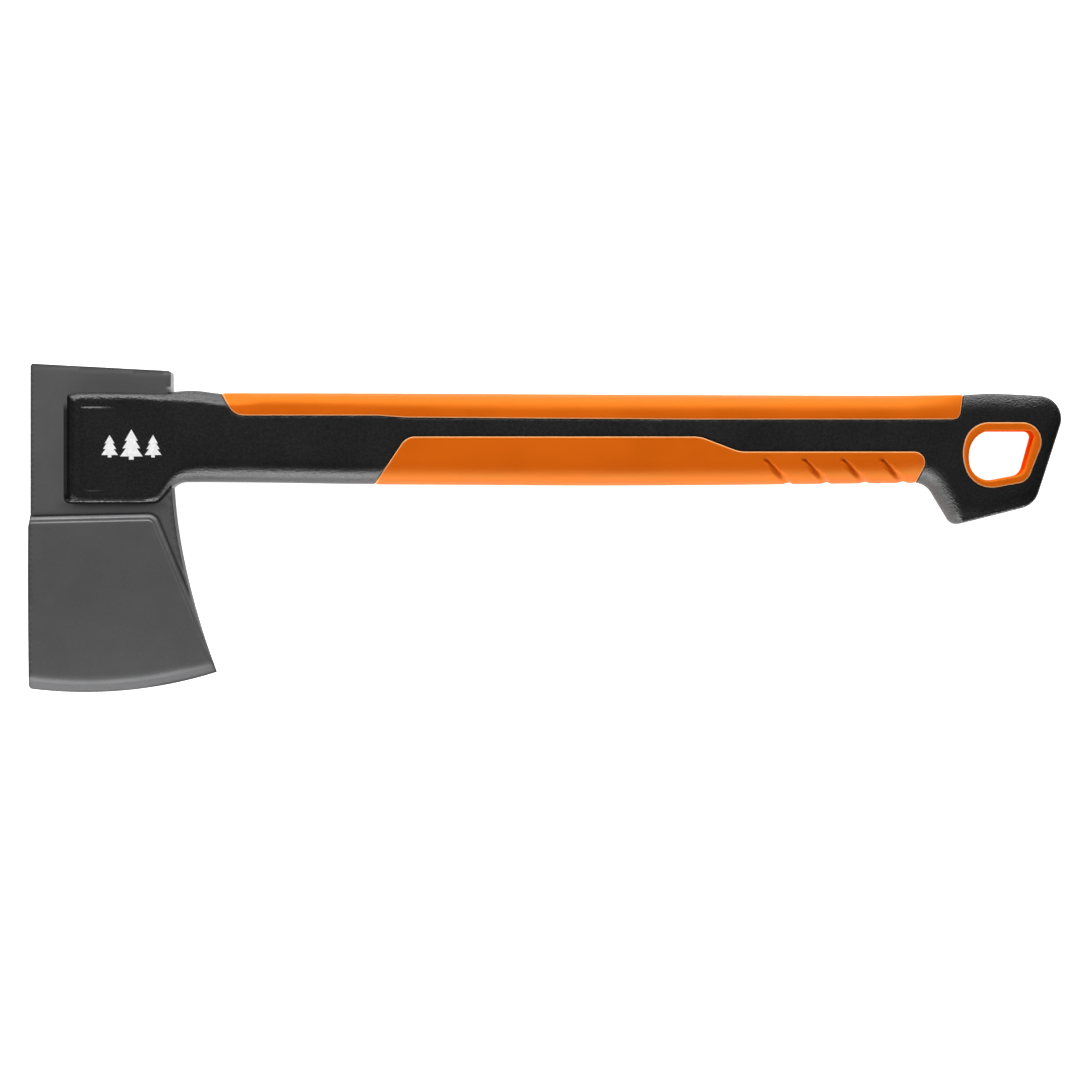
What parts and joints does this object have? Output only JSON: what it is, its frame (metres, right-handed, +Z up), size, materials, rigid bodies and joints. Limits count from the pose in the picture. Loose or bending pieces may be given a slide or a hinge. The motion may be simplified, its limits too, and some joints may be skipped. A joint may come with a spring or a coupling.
{
  "type": "felling axe",
  "caption": "Compact axe with a forged wedge head, a black moulded handle with orange soft inlays, and a lined hanging hole in the end knob.",
  "frame": {"origin": "centre of the axe's footprint, on the surface that it lies on", "axes": "the axe lies on its side: +X along the handle from the head to the end knob, +Y from the cutting edge to the poll, +Z up through the thickness"},
  "size_m": [0.4436, 0.1412, 0.03],
  "materials": {
    "coated_steel": "satin",
    "glass_fibre": "matte",
    "dowel_steel": "satin",
    "black_nylon": "matte",
    "orange_rubber": "matte",
    "white_print": "matte"
  },
  "bodies": {
    "root": {"axe_head": "coated_steel", "handle_core": "glass_fibre", "front_cross_pin": "dowel_steel", "rear_cross_pin": "dowel_steel", "handle_body": "black_nylon", "spine_inlay": "orange_rubber", "belly_grip": "orange_rubber", "hang_hole_liner": "orange_rubber"}
  },
  "joints": []
}
